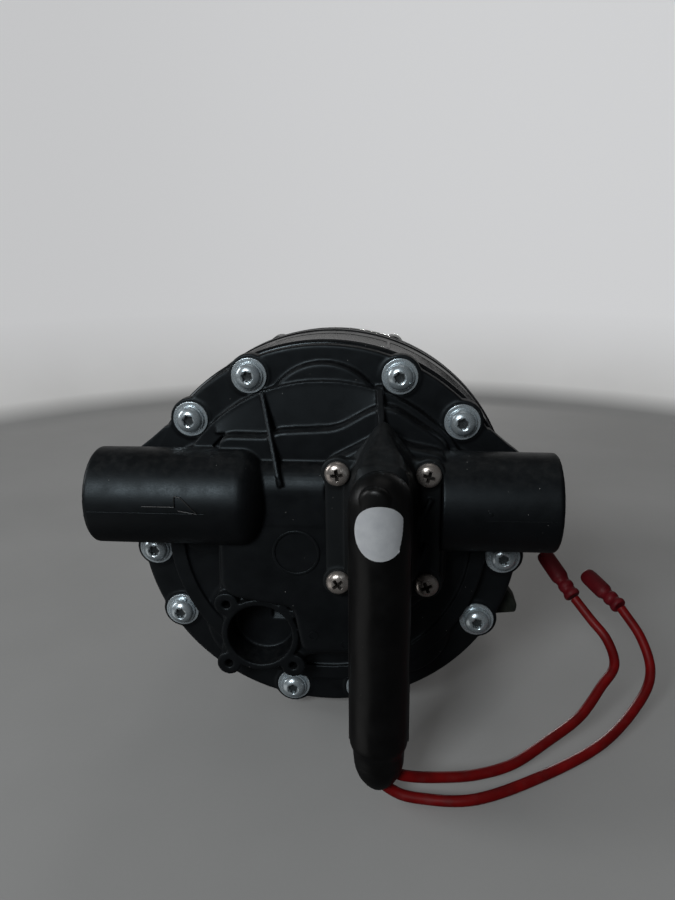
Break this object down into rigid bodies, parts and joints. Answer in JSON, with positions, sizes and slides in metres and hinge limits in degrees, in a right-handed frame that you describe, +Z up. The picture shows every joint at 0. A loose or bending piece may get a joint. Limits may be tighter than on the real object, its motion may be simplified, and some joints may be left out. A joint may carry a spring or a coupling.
{
  "type": "diaphragm bilge pump",
  "caption": "Electric diaphragm bilge pump lying on a footed base: round screwed head, in-line side ports, spare flanged port, pressure switch under a rubber boot, and two leads.",
  "frame": {"origin": "centre of the base plate's underside pad", "axes": "+X from the left port to the right port, +Y from the pump head towards the motor's rear end, +Z up; the pump and motor axis runs along +Y, 68 mm above the origin"},
  "size_m": [0.1955, 0.232, 0.14],
  "materials": {
    "housing_plastic": "satin black glass-filled nylon",
    "black_rubber": "soft black rubber",
    "valve_rubber": "moulded nitrile rubber",
    "white_nylon": "natural nylon",
    "motor_paint": "black painted steel",
    "switch_case": "black phenolic",
    "zinc_plate": "bright zinc plate",
    "stainless": "bright stainless steel",
    "steel": "machined steel",
    "copper": "turned copper",
    "ferrite": "sintered ferrite",
    "carbon": "pressed carbon",
    "label_paper": "plain white sticker",
    "wire_red": "red wire insulation",
    "terminal_red": "crimson terminal insulation"
  },
  "bodies": {
    "pump_body": {"head_cover": "housing_plastic", "cover_seal": "black_rubber", "valve_plate": "white_nylon", "outlet_valve": "valve_rubber", "inlet_valve_1": "valve_rubber", "inlet_valve_2": "valve_rubber", "inlet_valve_3": "valve_rubber", "inlet_valve_4": "valve_rubber", "inlet_valve_5": "valve_rubber", "diaphragm": "valve_rubber", "drive_housing": "housing_plastic", "motor_adapter": "housing_plastic", "front_bearing": "steel", "rear_bearing": "steel", "motor_can": "motor_paint", "rear_end_bell": "motor_paint", "magnet_left": "ferrite", "magnet_right": "ferrite", "brush_left": "carbon", "brush_right": "carbon", "through_bolt_upper": "zinc_plate", "through_bolt_lower": "zinc_plate", "base_plate": "housing_plastic", "foot_1": "black_rubber", "foot_2": "black_rubber", "foot_3": "black_rubber", "foot_4": "black_rubber", "switch_housing": "housing_plastic", "switch_diaphragm": "black_rubber", "micro_switch": "switch_case", "switch_hood": "black_rubber", "label": "label_paper", "switch_screw_1": "stainless", "switch_screw_2": "stainless", "switch_screw_3": "stainless", "switch_screw_4": "stainless", "wire_outer": "wire_red", "wire_inner": "wire_red", "terminal_outer": "terminal_red", "terminal_inner": "terminal_red", "cover_screw_01": "zinc_plate", "cover_screw_02": "zinc_plate", "cover_screw_03": "zinc_plate", "cover_screw_04": "zinc_plate", "cover_screw_05": "zinc_plate", "cover_screw_06": "zinc_plate", "cover_screw_07": "zinc_plate", "cover_screw_08": "zinc_plate", "cover_screw_09": "zinc_plate", "cover_screw_10": "zinc_plate"},
    "rotor": {"motor_shaft": "steel", "cam_hub": "steel", "armature": "steel", "commutator": "copper"},
    "wobble": {"wobble_bearing": "steel", "wobble_plate": "white_nylon"},
    "plunger": {"switch_plunger": "white_nylon", "switch_spring": "steel"},
    "set_screw": {"pressure_set_screw": "steel"},
    "switch_button": {"micro_switch_button": "white_nylon"}
  },
  "joints": [
    {"name": "rotor_spin", "type": "hinge", "parent": "pump_body", "child": "rotor", "pos_m": [0, -0.082, 0.068], "axis": [0, 1, 0], "continuous": true, "deforming": ["diaphragm"]},
    {"name": "wobble_nutation", "type": "hinge", "parent": "rotor", "child": "wobble", "pos_m": [0, -0.082, 0.068], "axis": [0, 0.9981, 0.061], "continuous": true},
    {"name": "plunger_slide", "type": "slide", "parent": "pump_body", "child": "plunger", "axis": [0, -1, 0], "range_m": [0, 0.0008], "deforming": ["switch_spring"]},
    {"name": "button_slide", "type": "slide", "parent": "pump_body", "child": "switch_button", "axis": [0, -1, 0], "range_m": [0, 0.0008]},
    {"name": "set_screw_turn", "type": "hinge", "parent": "pump_body", "child": "set_screw", "pos_m": [0.0204, -0.149, 0.079], "axis": [0, 1, 0], "range_deg": [-180, 180]}
  ],
  "couplings": [
    {"joint": "wobble_nutation", "follows": "rotor_spin", "ratio": -1},
    {"joint": "button_slide", "follows": "plunger_slide", "ratio": 1}
  ]
}
